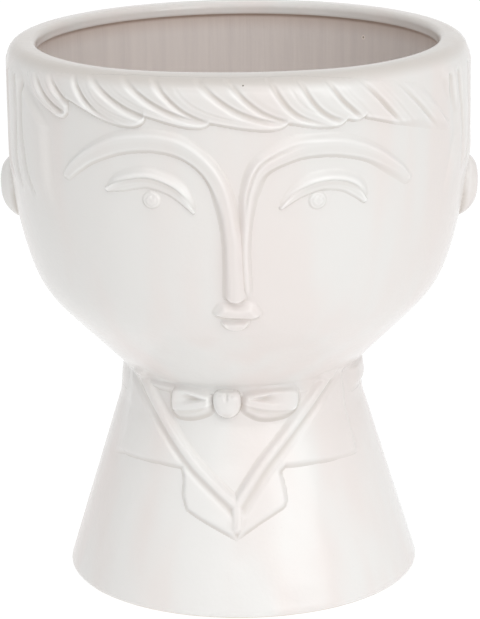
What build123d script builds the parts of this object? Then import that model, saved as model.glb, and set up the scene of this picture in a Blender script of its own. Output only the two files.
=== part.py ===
from build123d import *
import os
from functools import cache
from math import atan2, cos, hypot, pi, radians, sin, sqrt, tan

# A glazed ceramic planter: a bowl shaped as a head on a hollow pedestal shaped as a bust.
# Millimetres. The table is z = 0, the face looks along -Y, and left is the viewer's left, -X.

# Pedestal
pedestal_height = 80.0        # table to the plane where the head stands on the neck
foot_radius = 65.0
shoulder_radius = 44.6        # top of the cone
neck_radius = 43.6            # at the plane where the head stands
neck_length = 14.0
pedestal_wall = 8.0
foot_round = 1.5

# Head
rim_radius = 82.4             # upright wall under the lip
bowl_height = 118.0           # neck plane to the crest of the lip
bowl_wall = 8.5
floor_thickness = 9.0
jaw_height = 28.2             # neck plane to the jaw's corner
jaw_inset = 10.6              # jaw's corner inside the upright wall
jaw_round = 22.0
temple_drop = 38.0            # crest of the lip down to where the cheek arc meets the upright wall
lip_width = 10.5
lip_outer_round = 5.0
lip_inner_round = 2.0
bead_depth = 6.0              # height of the thick lip, seen from inside
locating_ring_depth = 4.0
locating_ring_wall = 5.0
locating_clearance = 0.3

# Drain plug
drain_radius = 7.0
plug_clearance = 0.06         # radial, in the drain hole
plug_flange_radius = 11.5
plug_flange_thickness = 2.5
plug_tip_length = 3.0         # stem past the underside of the floor
plug_tip_inset = 1.0
plug_grip_radius = 3.2
plug_grip_height = 8.0
plug_knob_radius = 4.6
plug_knob_thickness = 2.6

# Slip between a pressed piece and what carries it
lute = 0.1

# Brows and eyes: distances from the face's middle line, drops below the fringe
brow_relief = 2.6
brow_tip = (58.5, 23.0)
brow_upper = (28.5, 1.5)
brow_lower = (30.0, 8.1)
bridge_upper = (3.0, 17.5)
bridge_lower = (6.8, 23.5)
lid_relief = 1.8
lid_outer_tip = (44.0, 24.5)
lid_inner_tip = (14.2, 27.9)
lid_upper = (29.0, 17.0)
lid_lower = (29.5, 20.9)
pupil_relief = 2.0
pupil_radius = 2.8
pupil_place = (28.0, 24.9)

# Nose and mouth: heights above the neck plane, distances from the face's middle line
nose_width = 7.0
nose_bottom = 39.0
nose_round = 3.0
side_ridge_width = 2.2        # thin ridge beside the nose, from the right brow
side_ridge_gap = 0.5
side_ridge_bottom = 40.5
lip_relief = 2.6
mouth_height = 33.2           # line between the lips
mouth_gap = 0.5
upper_lip_half_width = 8.0
upper_lip_corner = 3.0        # corner above the line between the lips
upper_lip_peak = (3.7, 6.3)
upper_lip_dip = 4.9
lower_lip_half_width = 5.2
lower_lip_depth = 4.8

# Ears: on the sides, in a drawing that looks along X
ear_stand_off = 4.8           # past the upright wall
ear_set_back = 4.0            # middle of the ear behind the head's middle
ear_drop = 54.5               # middle of the ear below the crest of the lip
ear_half_length = 12.5
ear_half_width = 8.5
ear_hollow_share = 0.55       # hollow of the ear, as a share of its outline
ear_hollow_depth = 1.6
ear_root = 14.0               # how deep the ear's blank starts inside the wall, before it is cut to the wall

# Hair: drops below the crest of the lip, angles from the middle of the face
hair_relief = 1.8
back_hair_relief = 2.6
fringe_top_drop = 2.6
fringe_bottom_drop = 17.5
fringe_first_angle = -51.0
fringe_pitch = 9.3
fringe_count = 12
lock_width = 11.6             # along the rim
lock_sweep = 18.0             # how far a lock's tip lies to the right of its root
lock_belly = 2.4
strand_point = 14.0           # length of a strand's tip
strand_point_bulge = 0.64     # fullness of the tip: 0.5 is a straight taper
side_strand_width = 10.6
strand_top_drop = 7.0
front_strand_angle = 58.5     # strand beside the face, which starts under the fringe
front_strand_top_drop = 22.0
front_strand_tip_drop = 50.0
middle_strand_angle = 67.5
middle_strand_tip_drop = 55.0
ear_strand_angle = 76.0
ear_strand_tip_drop = 48.0
back_hair_first_angle = 105.0
back_hair_last_angle = 255.0
back_hair_count = 16
back_hair_width = 12.4
back_hair_short_drop = 74.0   # short and long strands in turn
back_hair_long_drop = 79.0

# Coat, shirt and bow tie: drops below the neck plane, distances from the face's middle line
cloth_relief = 1.2
seam = 0.4                    # between neighbouring pieces of cloth
collar_top_drop = 0.6
shirt_collar_drop = 10.5
coat_collar_drop = 12.0
opening_top = 37.0            # half width of the open coat at the neck plane
opening_bend = (21.0, 22.0)
opening_bottom_drop = 42.0
lapel_tip_drop = 52.0
lapel_notch_left = 21.0
lapel_notch_right = 16.0
lapel_notch_drop = 29.8
lapel_side = 43.0             # half width over both lapels
lapel_side_drop = 31.8
lapel_corner_rise = 13.5      # notch's lower corner above the lapel's tip
lapel_knee_in = 2.6
lapel_knee_rise = 5.8
bow_middle = -4.0             # knot's distance from the face's middle line
bow_drop = 6.8                # knot's middle below the neck plane
knot_half_width = 5.2
knot_half_height = 5.4
knot_corner = 3.0
knot_relief = 4.4
wing_relief = 3.0
wing_gap = 0.6
left_wing_length = 15.0
right_wing_length = 18.5
wing_root_half_height = 3.4
wing_end_half_height = 6.4
wing_end_bulge = 1.6
pleat_width = 1.0
pleat_share = 0.7             # pleat's length as a share of the wing's
pleat_depth = 1.2

# Places worked out from the sizes above
neck_z = pedestal_height
rim_z = neck_z + bowl_height
floor_z = neck_z + floor_thickness
mouth_radius = rim_radius - lip_width
fringe_z = rim_z - fringe_bottom_drop
jaw_radius = rim_radius - jaw_inset
temple_z = rim_z - temple_drop
jaw_to_temple = temple_z - (neck_z + jaw_height)
# The cheek arc touches the upright wall at the temple and goes through the jaw's corner.
cheek_radius = (jaw_inset ** 2 + jaw_to_temple ** 2) / (2 * jaw_inset)
cheek_centre = (rim_radius - cheek_radius, temple_z)
underside_slope = atan2(jaw_height, jaw_radius - neck_radius)
reach = 2.0 * rim_radius      # longer than any pressed piece is far from the axis


def at(centre, radius, angle):
    """Point on a circle in the turning section, angle counted from outwards."""
    return (centre[0] + radius * cos(angle), centre[1] + radius * sin(angle))


def section(points):
    """Points of the turning section (radius, height) as places in the XZ plane."""
    return [(r, 0.0, z) for r, z in points]


def line(start, end):
    return Line(*section([start, end]))


def arc(centre, radius, first, last):
    middle = (first + last) / 2
    return ThreePointArc(*section([at(centre, radius, a) for a in (first, middle, last)]))


def turned(edges):
    """Solid turned from a closed section."""
    return revolve(make_face(edges), Axis.Z)


def head_side(grow):
    """Head's side from the neck plane up to the top of the cheek arc, moved outwards by grow."""
    along = (cos(underside_slope), sin(underside_slope))
    out = (along[1], -along[0])
    # The jaw's arc touches the underside and the cheek arc: its centre lies on a line parallel to one
    # and on a circle about the other's centre.
    start = (neck_radius - out[0] * jaw_round, neck_z - out[1] * jaw_round)
    to_centre = (start[0] - cheek_centre[0], start[1] - cheek_centre[1])
    inner = cheek_radius - jaw_round
    half = along[0] * to_centre[0] + along[1] * to_centre[1]
    step = -half + sqrt(half ** 2 - hypot(*to_centre) ** 2 + inner ** 2)
    jaw_centre = (start[0] + along[0] * step, start[1] + along[1] * step)
    jaw_start = underside_slope - pi / 2
    jaw_end = atan2(jaw_centre[1] - cheek_centre[1], jaw_centre[0] - cheek_centre[0])
    jaw_foot = at(jaw_centre, jaw_round + grow, jaw_start)
    foot_step = (jaw_foot[1] - neck_z) / along[1]
    foot = (jaw_foot[0] - along[0] * foot_step, neck_z)
    edges = [
        line(foot, jaw_foot),
        arc(jaw_centre, jaw_round + grow, jaw_start, jaw_end),
        arc(cheek_centre, cheek_radius + grow, jaw_end, 0.0),
    ]
    return foot, edges, at(cheek_centre, cheek_radius + grow, 0.0)


@cache
def head_blank(grow):
    """Head without its hollow, moved outwards by grow."""
    foot, edges, temple = head_side(grow)
    lip_centre = (rim_radius - lip_outer_round, rim_z - lip_outer_round)
    shoulder = at(lip_centre, lip_outer_round + grow, 0.0)
    crest = at(lip_centre, lip_outer_round + grow, pi / 2)
    edges += [
        line(temple, shoulder),
        arc(lip_centre, lip_outer_round + grow, 0.0, pi / 2),
        line(crest, (0.0, crest[1])),
        line((0.0, crest[1]), (0.0, foot[1])),
        line((0.0, foot[1]), foot),
    ]
    return turned(edges)


def pedestal_side(grow):
    """Pedestal's side as three points from the table to the neck plane, moved outwards by grow."""
    cone_height = pedestal_height - neck_length
    cone_in = (foot_radius - shoulder_radius) / cone_height
    neck_in = (shoulder_radius - neck_radius) / neck_length
    cone_grow = grow * hypot(1.0, cone_in)
    neck_grow = grow * hypot(1.0, neck_in)
    # The moved cone and the moved neck cross a little above or below the shoulder.
    lift = (cone_grow - neck_grow) / (cone_in - neck_in)
    shoulder = (shoulder_radius + cone_grow - cone_in * lift, cone_height + lift)
    return [(foot_radius + cone_grow, 0.0), shoulder, (neck_radius + neck_grow, pedestal_height)]


@cache
def pedestal_blank(grow):
    """Pedestal without its hollow, moved outwards by grow."""
    foot, shoulder, neck = pedestal_side(grow)
    corners = [(0.0, 0.0), foot, shoulder, neck, (0.0, pedestal_height), (0.0, 0.0)]
    return turned([line(a, b) for a, b in zip(corners, corners[1:])])


def facing(angle):
    """Drawing plane through the axis that looks in from an angle, counted from the face to the right."""
    turn = radians(angle)
    return Plane(origin=(0, 0, 0), x_dir=(cos(turn), sin(turn), 0), z_dir=(sin(turn), -cos(turn), 0))


def pressed(blank, edges, angle, base, height):
    """Piece pressed onto a blank: what lies under an outline, from base to base plus height off its skin."""
    prism = extrude(facing(angle) * make_face(edges), amount=reach)
    return (prism & blank(base + height)) - blank(base)


def mirrored(points):
    return [(-x, z) for x, z in points]


def sided(side, points):
    """Points drawn for the right side, or their mirror image for the left."""
    return points if side > 0 else mirrored(points)


def raised(points):
    """Points given above the neck plane, as heights above the table."""
    return [(x, neck_z + z) for x, z in points]


def under_fringe(points):
    """Points given as drops below the fringe, as heights above the table."""
    return [(x, fringe_z - drop) for x, drop in points]


def polygon_edges(points):
    return [Line(a, b) for a, b in zip(points, points[1:] + points[:1])]


def make_head_bowl():
    foot, outside, temple = head_side(0.0)
    inner_foot, inside, inner_temple = head_side(-bowl_wall)
    lip_centre = (rim_radius - lip_outer_round, rim_z - lip_outer_round)
    bead_centre = (mouth_radius + lip_inner_round, rim_z - lip_inner_round)
    inner_radius = rim_radius - bowl_wall
    bead_z = rim_z - bead_depth
    ledge_z = bead_z - (inner_radius - mouth_radius)
    ring_outer = neck_radius - pedestal_wall - locating_clearance
    ring_inner = ring_outer - locating_ring_wall
    ring_z = neck_z - locating_ring_depth
    floor_edge = (inner_foot[0] + floor_thickness / tan(underside_slope), floor_z)
    edges = outside + [
        line(temple, at(lip_centre, lip_outer_round, 0.0)),
        arc(lip_centre, lip_outer_round, 0.0, pi / 2),
        line(at(lip_centre, lip_outer_round, pi / 2), at(bead_centre, lip_inner_round, pi / 2)),
        arc(bead_centre, lip_inner_round, pi / 2, pi),
        line(at(bead_centre, lip_inner_round, pi), (mouth_radius, bead_z)),
        line((mouth_radius, bead_z), (inner_radius, ledge_z)),
        line((inner_radius, ledge_z), inner_temple),
        inside[2],
        inside[1],
        line(floor_edge, section_point(inside[0], 1)),
    ]
    corners = [
        floor_edge, (drain_radius, floor_z), (drain_radius, neck_z), (ring_inner, neck_z),
        (ring_inner, ring_z), (ring_outer, ring_z), (ring_outer, neck_z), foot,
    ]
    edges += [line(a, b) for a, b in zip(corners, corners[1:])]
    return turned(edges)


def section_point(edge, place):
    """Point of a section's edge as (radius, height), at a share of its length."""
    point = edge @ place
    return (point.X, point.Z)


def make_pedestal():
    shell = pedestal_blank(0.0) - pedestal_blank(-pedestal_wall)
    foot_edges = shell.edges().filter_by(GeomType.CIRCLE).group_by(Axis.Z)[0].sort_by(SortBy.RADIUS)
    return fillet(foot_edges[-1], foot_round)


def make_drain_plug():
    stem = drain_radius - plug_clearance
    tip_z = neck_z - plug_tip_length
    flange_z = floor_z + plug_flange_thickness
    knob_z = flange_z + plug_grip_height - plug_knob_thickness
    top_z = flange_z + plug_grip_height
    corners = [
        (0.0, tip_z), (stem - plug_tip_inset, tip_z), (stem, neck_z), (stem, floor_z),
        (plug_flange_radius, floor_z), (plug_flange_radius, flange_z), (plug_grip_radius, flange_z),
        (plug_grip_radius, knob_z), (plug_knob_radius, knob_z), (plug_knob_radius, top_z), (0.0, top_z),
        (0.0, tip_z),
    ]
    return turned([line(a, b) for a, b in zip(corners, corners[1:])])


def make_left_brow():
    """Left brow, with the ridge of the nose that it runs down into."""
    half = nose_width / 2
    tip, upper, lower = under_fringe(mirrored([brow_tip, brow_upper, brow_lower]))
    bridge, inner = under_fringe(mirrored([bridge_upper, bridge_lower]))
    nose_left, nose_right = raised([(-half, nose_bottom + nose_round), (half, nose_bottom + nose_round)])
    nose_tip = (0.0, neck_z + nose_bottom)
    edges = [
        ThreePointArc(tip, upper, bridge),
        Line(bridge, nose_right),
        ThreePointArc(nose_right, nose_tip, nose_left),
        Line(nose_left, inner),
        ThreePointArc(inner, lower, tip),
    ]
    return pressed(head_blank, edges, 0.0, lute, brow_relief)


def make_right_brow():
    """Right brow, with the thin ridge that it sends down beside the nose."""
    ridge_left = nose_width / 2 + side_ridge_gap
    tip, upper, lower = under_fringe([brow_tip, brow_upper, brow_lower])
    bridge, inner = under_fringe([bridge_upper, bridge_lower])
    ridge_right = ridge_left + side_ridge_width
    foot_left, foot_right = raised([(ridge_left, side_ridge_bottom), (ridge_right, side_ridge_bottom)])
    edges = [
        ThreePointArc(tip, upper, bridge),
        Line(bridge, foot_left),
        Line(foot_left, foot_right),
        Line(foot_right, inner),
        ThreePointArc(inner, lower, tip),
    ]
    return pressed(head_blank, edges, 0.0, lute, brow_relief)


def make_eyelid(side):
    points = [lid_outer_tip, lid_upper, lid_inner_tip, lid_lower]
    outer, upper, inner, lower = under_fringe(sided(side, points))
    edges = [ThreePointArc(outer, upper, inner), ThreePointArc(inner, lower, outer)]
    return pressed(head_blank, edges, 0.0, lute, lid_relief)


def make_pupil(side):
    middle = under_fringe(sided(side, [pupil_place]))[0]
    return pressed(head_blank, [CenterArc(middle, pupil_radius, 0, 360)], 0.0, lute, pupil_relief)


def make_upper_lip():
    line_z = mouth_height + mouth_gap / 2
    left, right = raised(mirror_pair(upper_lip_half_width, line_z + upper_lip_corner))
    left_peak, right_peak = raised(mirror_pair(upper_lip_peak[0], mouth_height + upper_lip_peak[1]))
    dip, low = raised([(0.0, mouth_height + upper_lip_dip), (0.0, line_z)])
    edges = [
        Line(left, left_peak), Line(left_peak, dip), Line(dip, right_peak), Line(right_peak, right),
        ThreePointArc(right, low, left),
    ]
    return pressed(head_blank, edges, 0.0, lute, lip_relief)


def mirror_pair(x, z):
    """A point's mirror image and the point."""
    return [(-x, z), (x, z)]


def make_lower_lip():
    line_z = mouth_height - mouth_gap / 2
    left, right = raised(mirror_pair(lower_lip_half_width, line_z))
    low = raised([(0.0, line_z - lower_lip_depth)])[0]
    return pressed(head_blank, [Line(left, right), ThreePointArc(right, low, left)], 0.0, lute, lip_relief)


def make_ear(side):
    middle = (side * ear_set_back, rim_z - ear_drop)
    outline = Pos(*middle) * Ellipse(ear_half_width, ear_half_length)
    hollow = Pos(*middle) * Ellipse(ear_half_width * ear_hollow_share, ear_half_length * ear_hollow_share)
    plane = facing(side * 90.0)
    outer = rim_radius + ear_stand_off
    blank = extrude(plane.offset(rim_radius - ear_root) * outline, amount=reach)
    dish = extrude(plane.offset(outer - ear_hollow_depth) * hollow, amount=2 * ear_hollow_depth)
    rounded = blank & ear_dome(plane, middle, outer)
    return rounded - dish - head_blank(lute)


def ear_dome(plane, middle, outer):
    """Ball that rounds an ear off: it stands off the wall at the middle and meets it at the ear's ends."""
    radius = (ear_half_length ** 2 + ear_stand_off ** 2) / (2 * ear_stand_off)
    centre = plane.offset(outer - radius).from_local_coords((middle[0], middle[1], 0))
    return Pos(centre.X, centre.Y, centre.Z) * Sphere(radius)


def make_fringe():
    """Locks swept from the rim's edge down to the right."""
    top = rim_z - fringe_top_drop
    bottom = fringe_z
    middle = (top + bottom) / 2
    left = -lock_sweep / 2 - lock_width / 2
    right = left + lock_width
    tip = lock_sweep / 2
    edges = [
        Line((left, top), (right, top)),
        ThreePointArc((right, top), ((right + tip) / 2 - lock_belly, middle), (tip, bottom)),
        ThreePointArc((tip, bottom), ((left + tip) / 2 - lock_belly, middle - lock_belly), (left, top)),
    ]
    angles = [fringe_first_angle + fringe_pitch * n for n in range(fringe_count)]
    return [pressed(head_blank, edges, angle, lute, hair_relief) for angle in angles]


def strand_edges(width, top_drop, tip_drop):
    """Upright strand that narrows to a tip."""
    half = width / 2
    top, tip = rim_z - top_drop, rim_z - tip_drop
    shoulder = tip + strand_point
    full = (half * strand_point_bulge, shoulder - strand_point * strand_point_bulge)
    return [
        Line((-half, shoulder), (-half, top)),
        Line((-half, top), (half, top)),
        Line((half, top), (half, shoulder)),
        ThreePointArc((half, shoulder), full, (0.0, tip)),
        ThreePointArc((0.0, tip), (-full[0], full[1]), (-half, shoulder)),
    ]


def make_side_hair(side):
    places = [
        (front_strand_angle, front_strand_top_drop, front_strand_tip_drop),
        (middle_strand_angle, strand_top_drop, middle_strand_tip_drop),
        (ear_strand_angle, strand_top_drop, ear_strand_tip_drop),
    ]
    strands = []
    for angle, top_drop, tip_drop in places:
        edges = strand_edges(side_strand_width, top_drop, tip_drop)
        strands.append(pressed(head_blank, edges, side * angle, lute, hair_relief))
    return strands


def make_back_hair():
    step = (back_hair_last_angle - back_hair_first_angle) / (back_hair_count - 1)
    strands = []
    for n in range(back_hair_count):
        tip_drop = back_hair_long_drop if n % 2 else back_hair_short_drop
        edges = strand_edges(back_hair_width, strand_top_drop, tip_drop)
        angle = back_hair_first_angle + step * n
        strands.append(pressed(head_blank, edges, angle, lute, back_hair_relief))
    return strands


def opening_points():
    """Right edge of the open coat, from the neck plane to the bottom of the V, as distance and drop."""
    return [(opening_top, collar_top_drop), opening_bend, (0.0, opening_bottom_drop)]


def dropped(points):
    """Points given as drops below the neck plane, as heights above the table."""
    return [(x, neck_z - drop) for x, drop in points]


def make_lapel(side):
    notch = lapel_notch_right if side > 0 else lapel_notch_left
    corner_drop = lapel_tip_drop - lapel_corner_rise
    knee_drop = lapel_tip_drop - lapel_knee_rise
    points = [(x + seam / 2, drop) for x, drop in opening_points()] + [
        (seam / 2, lapel_tip_drop), (notch - lapel_knee_in, knee_drop), (notch, corner_drop),
        (notch, lapel_notch_drop), (lapel_side, lapel_side_drop), (lapel_side, collar_top_drop),
    ]
    return pressed(pedestal_blank, polygon_edges(dropped(sided(side, points))), 0.0, lute, cloth_relief)


def make_shirt_collar():
    """Band round the front of the neck, inside the open coat."""
    inset = seam / 2
    (top_x, top_drop), (bend_x, bend_drop) = opening_points()[:2]
    share = (shirt_collar_drop - top_drop) / (bend_drop - top_drop)
    low_x = top_x + (bend_x - top_x) * share
    right = [(top_x - inset, top_drop), (low_x - inset, shirt_collar_drop)]
    points = right + mirrored(right)[::-1]
    return pressed(pedestal_blank, polygon_edges(dropped(points)), 0.0, lute, cloth_relief)


def make_coat_collar():
    """Band round the sides and back of the neck, from one lapel to the other."""
    depth = coat_collar_drop - collar_top_drop
    middle = (0.0, neck_z - (collar_top_drop + coat_collar_drop) / 2)
    band = extrude(facing(0.0) * (Pos(*middle) * Rectangle(2 * reach, depth)), amount=reach, both=True)
    lapels = Pos(*middle) * Rectangle(2 * (lapel_side + seam), 2 * depth)
    front = extrude(facing(0.0).offset(-seam) * lapels, amount=reach)
    return (band & pedestal_blank(lute + cloth_relief)) - pedestal_blank(lute) - front


def bow_base():
    """The bow tie lies on the shirt's collar."""
    return 2 * lute + cloth_relief


def make_bow_knot():
    middle = (bow_middle, neck_z - bow_drop)
    outline = Pos(*middle) * RectangleRounded(2 * knot_half_width, 2 * knot_half_height, knot_corner)
    return pressed(pedestal_blank, outline.edges(), 0.0, bow_base(), knot_relief)


def make_bow_wing(side):
    length = right_wing_length if side > 0 else left_wing_length
    root = knot_half_width + wing_gap
    end = root + length
    points = [
        (root, wing_root_half_height), (end, wing_end_half_height), (end + wing_end_bulge, 0.0),
        (end, -wing_end_half_height), (root, -wing_root_half_height),
    ]
    placed = [(bow_middle + x, neck_z - bow_drop + z) for x, z in sided(side, points)]
    top_root, top_end, bulge, low_end, low_root = placed
    edges = [
        Line(top_root, top_end), ThreePointArc(top_end, bulge, low_end), Line(low_end, low_root),
        Line(low_root, top_root),
    ]
    wing = pressed(pedestal_blank, edges, 0.0, bow_base(), wing_relief)
    pleat_middle = (bow_middle + side * (root + pleat_share * length / 2), neck_z - bow_drop)
    pleat = Pos(*pleat_middle) * Rectangle(pleat_share * length, pleat_width)
    pleat_base = bow_base() + wing_relief - pleat_depth
    return wing - pressed(pedestal_blank, pleat.edges(), 0.0, pleat_base, 2 * pleat_depth)


def solids_of(pieces):
    """Every solid of a piece or of a list of pieces."""
    pieces = pieces if isinstance(pieces, list) else [pieces]
    return [solid for piece in pieces for solid in piece.solids()]


nodes = {
    "head_bowl": make_head_bowl(),
    "pedestal": make_pedestal(),
    "drain_plug": make_drain_plug(),
    "shirt_collar": make_shirt_collar(),
    "coat_collar": make_coat_collar(),
    "left_lapel": make_lapel(-1),
    "right_lapel": make_lapel(1),
    "bow_tie_knot": make_bow_knot(),
    "bow_tie_left_wing": make_bow_wing(-1),
    "bow_tie_right_wing": make_bow_wing(1),
    "left_ear": make_ear(-1),
    "right_ear": make_ear(1),
    "left_brow": make_left_brow(),
    "right_brow": make_right_brow(),
    "left_eyelid": make_eyelid(-1),
    "right_eyelid": make_eyelid(1),
    "left_pupil": make_pupil(-1),
    "right_pupil": make_pupil(1),
    "upper_lip": make_upper_lip(),
    "lower_lip": make_lower_lip(),
    "hair_fringe": make_fringe(),
    "left_side_hair": make_side_hair(-1),
    "right_side_hair": make_side_hair(1),
    "back_hair": make_back_hair(),
}

os.makedirs("parts", exist_ok=True)
for name, pieces in nodes.items():
    solids = solids_of(pieces)
    export_step(solids[0] if len(solids) == 1 else Compound(children=solids), f"parts/{name}.step")
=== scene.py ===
"""Looks of the head planter: glazed ceramic pieces pressed onto two turned bodies, and a rubber drain plug.

Shapes are worked out in millimetres and made in metres. Angles round the axis are in degrees from the middle of
the face, which looks along -Y, and grow towards the viewer's right, +X.
"""

import math
import bpy
import numpy as np
from mathutils import Matrix, Vector


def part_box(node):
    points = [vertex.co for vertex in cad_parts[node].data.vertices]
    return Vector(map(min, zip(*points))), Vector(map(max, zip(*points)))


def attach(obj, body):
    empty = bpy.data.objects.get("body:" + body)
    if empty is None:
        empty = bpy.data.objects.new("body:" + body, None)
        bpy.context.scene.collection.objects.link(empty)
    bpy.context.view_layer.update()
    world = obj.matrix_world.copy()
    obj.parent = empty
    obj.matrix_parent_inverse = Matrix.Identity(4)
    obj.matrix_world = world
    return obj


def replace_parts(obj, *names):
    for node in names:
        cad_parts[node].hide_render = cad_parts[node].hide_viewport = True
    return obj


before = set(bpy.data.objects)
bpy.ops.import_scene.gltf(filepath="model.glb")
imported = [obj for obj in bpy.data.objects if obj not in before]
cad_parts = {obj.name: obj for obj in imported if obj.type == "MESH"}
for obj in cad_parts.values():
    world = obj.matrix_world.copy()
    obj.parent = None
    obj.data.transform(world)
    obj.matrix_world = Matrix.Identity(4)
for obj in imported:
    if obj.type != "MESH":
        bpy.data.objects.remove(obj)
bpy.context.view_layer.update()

MM = 0.001


def corner(node, end):
    """Lowest (0) or highest (1) corner of a CAD node, in millimetres."""
    return np.array(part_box(node)[end]) / MM


# Turned bodies: what the frame gives, then the sizes inside its boxes
RIM_RADIUS = corner("head_bowl", 1)[0]
RIM_Z = corner("head_bowl", 1)[2]
RING_Z = corner("head_bowl", 0)[2]
NECK_Z = corner("pedestal", 1)[2]
JAW_HEIGHT = 28.2
JAW_INSET = 10.6
JAW_ROUND = 22.0
JAW_EASE = 8.0                # reach over which the jaw's round runs into the cheek
TEMPLE_DROP = 38.0
BOWL_WALL = 9.3
FLOOR_THICKNESS = 9.0
FLOOR_ROUND = 4.0
LIP_WIDTH = 10.5
LIP_OUTER_ROUND = 5.6
LIP_INNER_ROUND = 2.4
BEAD_DEPTH = 4.3
LIP_SWELL = 3.4               # the lip is thicker over the face
LIP_SWELL_HALF = 45.0
JOINT_ROUND = 3.2             # slip smoothed into the corner between head and neck
COAT_REACH = 10.0             # how far the coat's skin goes on up the head
DRAIN_RADIUS = 7.0
DRAIN_ROUND = 0.8
RING_RADII = (30.3, 35.3)
FOOT_RADIUS = 65.0
SHOULDER_RADIUS = 44.6
HEAD_FOOT_RADIUS = 43.6
NECK_RADIUS = 43.1
NECK_LENGTH = 14.0
SHOULDER_ROUND = 12.0
PEDESTAL_WALL = 8.0
FOOT_ROUND = 1.8

# Meshes
TURNS = 320                   # columns round a turned body
SINK = 0.012                  # how far a pressed piece's feather edge dips under the skin that carries it
ROOT = 0.8                    # how deep a pressed piece reaches into the wall
POOL_AND_SHADE_REACH = 1.7              # glaze pools, and shade is painted, where the skin lies lower than what is this far above and beside it
POOL_AND_SHADE_DEPTH = 1.1
CREST_AND_HIGHLIGHT_REACH = 1.1             # glaze breaks pale, and a highlight is painted, where the skin stands higher than what is this far round it
CREST_AND_HIGHLIGHT_DEPTH = 0.5


# Number helpers
def ease(t):
    """0 to 1 with level ends."""
    t = np.clip(t, 0.0, 1.0)
    return t * t * t * (t * (6.0 * t - 15.0) + 10.0)


def spaced(length, step):
    return max(2, int(math.ceil(length / step)) + 1)


def straight(start, end, step=1.2):
    count = spaced(math.dist(start, end), step)
    return np.linspace(start, end, count)


def arc(centre, radius, first, last, step=0.6):
    """Points on an arc of the turning section, angles in radians from outwards."""
    angles = np.linspace(first, last, spaced(radius * abs(last - first), step))
    return np.stack([centre[0] + radius * np.cos(angles), centre[1] + radius * np.sin(angles)], axis=1)


def joined(*runs):
    """Runs of points end to end, without the doubled points where they meet."""
    points = np.concatenate(runs)
    far = np.hypot(*np.diff(points, axis=0).T) > 1e-6
    return points[np.concatenate([[True], far])]


def rounded_corner(before, point, after, radius, step=0.4):
    """Arc that rounds a corner of the section off."""
    before, point, after = (np.array(p, float) for p in (before, point, after))
    a = (before - point) / np.linalg.norm(before - point)
    b = (after - point) / np.linalg.norm(after - point)
    half = math.acos(np.clip(a @ b, -1, 1)) / 2
    centre = point + (a + b) / np.linalg.norm(a + b) * radius / math.sin(half)
    start, end = point + a * radius / math.tan(half), point + b * radius / math.tan(half)
    first = math.atan2(*(start - centre)[::-1])
    last = math.atan2(*(end - centre)[::-1])
    last += 2 * math.pi * round((first - last) / (2 * math.pi))
    return arc(centre, radius, first, last, step)


def smooth_path(points, count=60):
    """Smooth curve through a few given rows, whose columns after the first two are carried along."""
    rows = np.array(points, float)
    rows = np.vstack([2 * rows[0] - rows[1], rows, 2 * rows[-1] - rows[-2]])
    out = []
    spans = len(rows) - 3
    for t in np.linspace(0, spans, count):
        n = min(int(t), spans - 1)
        f = t - n
        p0, p1, p2, p3 = rows[n:n + 4]
        out.append(0.5 * (2 * p1 + (p2 - p0) * f + (2 * p0 - 5 * p1 + 4 * p2 - p3) * f ** 2
                          + (3 * p1 - p0 - 3 * p2 + p3) * f ** 3))
    return np.array(out)


def smooth_outline(points, count=64):
    """Closed outline with its corners rounded off by a curve through the middles of its sides."""
    corners = np.array(points, float)
    middles = (corners + np.roll(corners, -1, axis=0)) / 2
    out = []
    per_corner = max(2, count // len(corners))
    for n, corner_point in enumerate(corners):
        before, after = middles[n - 1], middles[n]
        for t in np.linspace(0, 1, per_corner, endpoint=False):
            out.append((1 - t) ** 2 * before + 2 * t * (1 - t) * corner_point + t ** 2 * after)
    return np.array(out)


def beside(path, x, z):
    """Nearest place on a path to each point: offset to the left of travel, distance, share of the way, and the
    path's own columns there."""
    best = np.full(x.shape, np.inf)
    offset, share = np.zeros(x.shape), np.zeros(x.shape)
    columns = np.zeros(x.shape + (path.shape[1] - 2,))
    for n in range(len(path) - 1):
        a, b = path[n], path[n + 1]
        d = b[:2] - a[:2]
        t = np.clip(((x - a[0]) * d[0] + (z - a[1]) * d[1]) / (d @ d), 0, 1)
        dx, dz = x - a[0] - t * d[0], z - a[1] - t * d[1]
        distance = np.hypot(dx, dz)
        near = distance < best
        best = np.where(near, distance, best)
        side = np.where(d[0] * dz - d[1] * dx >= 0, 1.0, -1.0)
        offset = np.where(near, side * distance, offset)
        share = np.where(near, (n + t) / (len(path) - 1), share)
        columns = np.where(near[..., None], a[2:] + t[..., None] * (b[2:] - a[2:]), columns)
    return offset, best, share, columns


def inside(points, x, z):
    """Distance in from the edges of a closed outline; negative outside it."""
    closed = np.array(list(points) + [points[0]], float)
    distance = beside(closed, x, z)[1]
    crossings = np.zeros(x.shape, int)
    for (ax, az), (bx, bz) in zip(closed, closed[1:]):
        if az != bz:
            over = (az > z) != (bz > z)
            crossings += over & (x < ax + (z - az) * (bx - ax) / (bz - az))
    return np.where(crossings % 2 == 1, distance, -distance)


# Turned curves
class Curve:
    """Outer side of a turned body: radius, height and outward direction along its length."""

    def __init__(self, points):
        self.r, self.z = points.T
        self.s = np.concatenate([[0], np.cumsum(np.hypot(np.diff(self.r), np.diff(self.z)))])
        dr, dz = np.gradient(self.r, self.s), np.gradient(self.z, self.s)
        size = np.hypot(dr, dz)
        self.out_r, self.out_z = dz / size, -dr / size

    def at(self, s):
        return [np.interp(s, self.s, values) for values in (self.r, self.z, self.out_r, self.out_z)]

    def length_at(self, z):
        return np.interp(z, self.z, self.s)


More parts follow.
